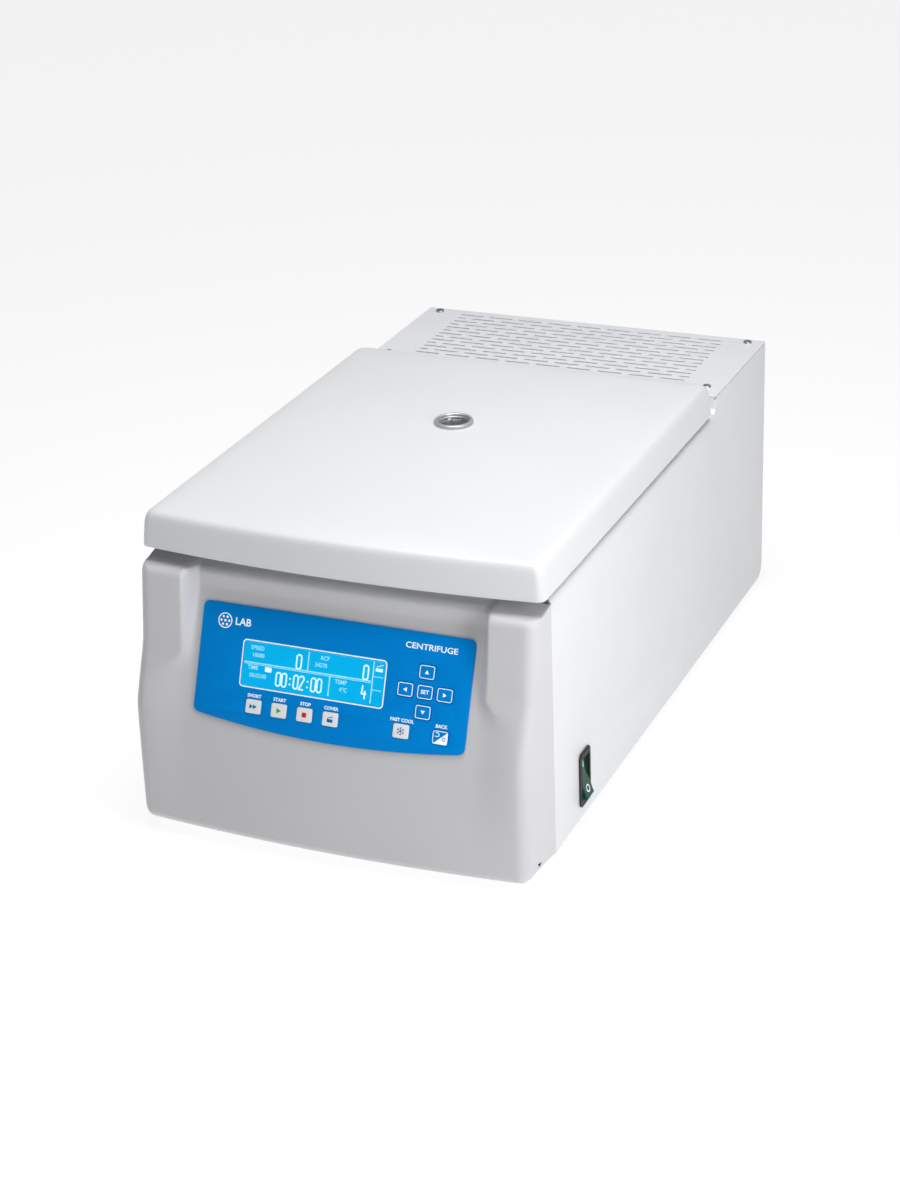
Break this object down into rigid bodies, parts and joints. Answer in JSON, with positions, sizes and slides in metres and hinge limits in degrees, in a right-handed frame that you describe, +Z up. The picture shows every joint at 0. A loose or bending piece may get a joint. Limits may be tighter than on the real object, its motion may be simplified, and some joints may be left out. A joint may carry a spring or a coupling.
{
  "type": "laboratory centrifuge",
  "caption": "Refrigerated bench-top laboratory centrifuge with a hinged lid, a fixed-angle rotor in a steel chamber, a sloping control panel and a raised, slotted rear cover.",
  "frame": {"origin": "on the surface the feet stand on, under the middle of the machine's overall width and depth", "axes": "+X to the user's right, +Y to the back, +Z up"},
  "size_m": [0.3734, 0.6799, 0.2968],
  "materials": {
    "coat": "white powder coat, very fine orange peel",
    "lid": "smooth satin white",
    "bezel": "fine-grained light grey moulding",
    "label": "satin blue printed film",
    "screen": "backlit liquid crystal window",
    "key_white": "satin white printed film",
    "key_blue": "satin blue printed film",
    "black": "fine matt black moulding",
    "rocker_green": "glossy dark green, translucent",
    "zinc": "bright zinc plate",
    "steel": "satin stainless steel",
    "satin_metal": "turned aluminium, clear anodised",
    "rotor_metal": "grey hard-anodised aluminium",
    "rubber": "matt moulded rubber",
    "seal_rubber": "soft grey silicone",
    "clear_glass": "clear polished glass",
    "board": "green solder mask",
    "copper": "drawn copper tube",
    "enamel": "black stove enamel"
  },
  "bodies": {
    "base": {"base_pan": "zinc", "side_panel_left": "coat", "side_panel_right": "coat", "rear_panel": "coat", "deck_plate": "coat", "hump_front_panel": "coat", "top_grille": "coat", "grille_screw_front_left": "zinc", "grille_screw_front_right": "zinc", "grille_screw_rear_left": "zinc", "grille_screw_rear_right": "zinc", "foot_front_left": "rubber", "foot_front_right": "rubber", "foot_rear_left": "rubber", "foot_rear_right": "rubber", "front_bezel": "bezel", "control_label": "label", "lcd_window": "screen", "display_board": "board", "switch_frame": "black", "hinge_arm_left": "zinc", "hinge_arm_right": "zinc", "latch_body": "zinc", "chamber_bowl": "steel", "chamber_seal": "seal_rubber", "evaporator_coil": "copper", "motor": "enamel", "motor_plate": "zinc", "damper_front": "rubber", "damper_rear_right": "rubber", "damper_rear_left": "rubber", "compressor": "enamel", "condenser": "satin_metal", "fan_frame": "black", "refrigerant_line": "copper", "drive_board": "board", "power_inlet": "black"},
    "lid": {"lid_shell": "lid", "lid_liner": "coat", "port_ring": "satin_metal", "port_glass": "clear_glass", "lid_striker": "zinc", "hinge_rod": "steel"},
    "rotor": {"motor_shaft": "steel", "rotor": "rotor_metal"},
    "rotor_cover": {"rotor_cover": "satin_metal"},
    "fan": {"fan_impeller": "black"},
    "latch_hook": {"latch_hook": "steel"},
    "switch_rocker": {"switch_rocker": "rocker_green"},
    "key_short": {"key_short": "key_white"},
    "key_start": {"key_start": "key_white"},
    "key_stop": {"key_stop": "key_white"},
    "key_cover": {"key_cover": "key_white"},
    "key_fast_cool": {"key_fast_cool": "key_white"},
    "key_back": {"key_back": "key_white"},
    "key_up": {"key_up": "key_blue"},
    "key_left": {"key_left": "key_blue"},
    "key_set": {"key_set": "key_blue"},
    "key_right": {"key_right": "key_blue"},
    "key_down": {"key_down": "key_blue"}
  },
  "joints": [
    {"name": "lid_hinge", "type": "hinge", "parent": "base", "child": "lid", "pos_m": [0, 0.1492, 0.2716], "axis": [-1, 0, 0], "range_deg": [0, 75]},
    {"name": "rotor_spin", "type": "hinge", "parent": "base", "child": "rotor", "pos_m": [0, -0.0323, 0.1176], "axis": [0, 0, 1], "continuous": true},
    {"name": "rotor_cover_lift", "type": "slide", "parent": "rotor", "child": "rotor_cover", "axis": [0, 0, 1], "range_m": [0, 0.03]},
    {"name": "fan_spin", "type": "hinge", "parent": "base", "child": "fan", "pos_m": [0.072, 0.3047, 0.1216], "axis": [0, 1, 0], "continuous": true},
    {"name": "latch_hook_turn", "type": "hinge", "parent": "base", "child": "latch_hook", "pos_m": [0, -0.2493, 0.2106], "axis": [-1, 0, 0], "range_deg": [0, 60], "stiffness_Nm_per_rad": 0.05},
    {"name": "power_rocker", "type": "hinge", "parent": "base", "child": "switch_rocker", "pos_m": [0.1805, -0.1968, 0.0476], "axis": [0, 1, 0], "range_deg": [0, 22]},
    {"name": "key_short_press", "type": "slide", "parent": "base", "child": "key_short", "axis": [0, 0.9285, -0.3714], "range_m": [0, 0.0004], "stiffness_N_per_m": 1500},
    {"name": "key_start_press", "type": "slide", "parent": "base", "child": "key_start", "axis": [0, 0.9285, -0.3714], "range_m": [0, 0.0004], "stiffness_N_per_m": 1500},
    {"name": "key_stop_press", "type": "slide", "parent": "base", "child": "key_stop", "axis": [0, 0.9285, -0.3714], "range_m": [0, 0.0004], "stiffness_N_per_m": 1500},
    {"name": "key_cover_press", "type": "slide", "parent": "base", "child": "key_cover", "axis": [0, 0.9285, -0.3714], "range_m": [0, 0.0004], "stiffness_N_per_m": 1500},
    {"name": "key_fast_cool_press", "type": "slide", "parent": "base", "child": "key_fast_cool", "axis": [0, 0.9285, -0.3714], "range_m": [0, 0.0004], "stiffness_N_per_m": 1500},
    {"name": "key_back_press", "type": "slide", "parent": "base", "child": "key_back", "axis": [0, 0.9285, -0.3714], "range_m": [0, 0.0004], "stiffness_N_per_m": 1500},
    {"name": "key_up_press", "type": "slide", "parent": "base", "child": "key_up", "axis": [0, 0.9285, -0.3714], "range_m": [0, 0.0004], "stiffness_N_per_m": 1500},
    {"name": "key_left_press", "type": "slide", "parent": "base", "child": "key_left", "axis": [0, 0.9285, -0.3714], "range_m": [0, 0.0004], "stiffness_N_per_m": 1500},
    {"name": "key_set_press", "type": "slide", "parent": "base", "child": "key_set", "axis": [0, 0.9285, -0.3714], "range_m": [0, 0.0004], "stiffness_N_per_m": 1500},
    {"name": "key_right_press", "type": "slide", "parent": "base", "child": "key_right", "axis": [0, 0.9285, -0.3714], "range_m": [0, 0.0004], "stiffness_N_per_m": 1500},
    {"name": "key_down_press", "type": "slide", "parent": "base", "child": "key_down", "axis": [0, 0.9285, -0.3714], "range_m": [0, 0.0004], "stiffness_N_per_m": 1500}
  ]
}
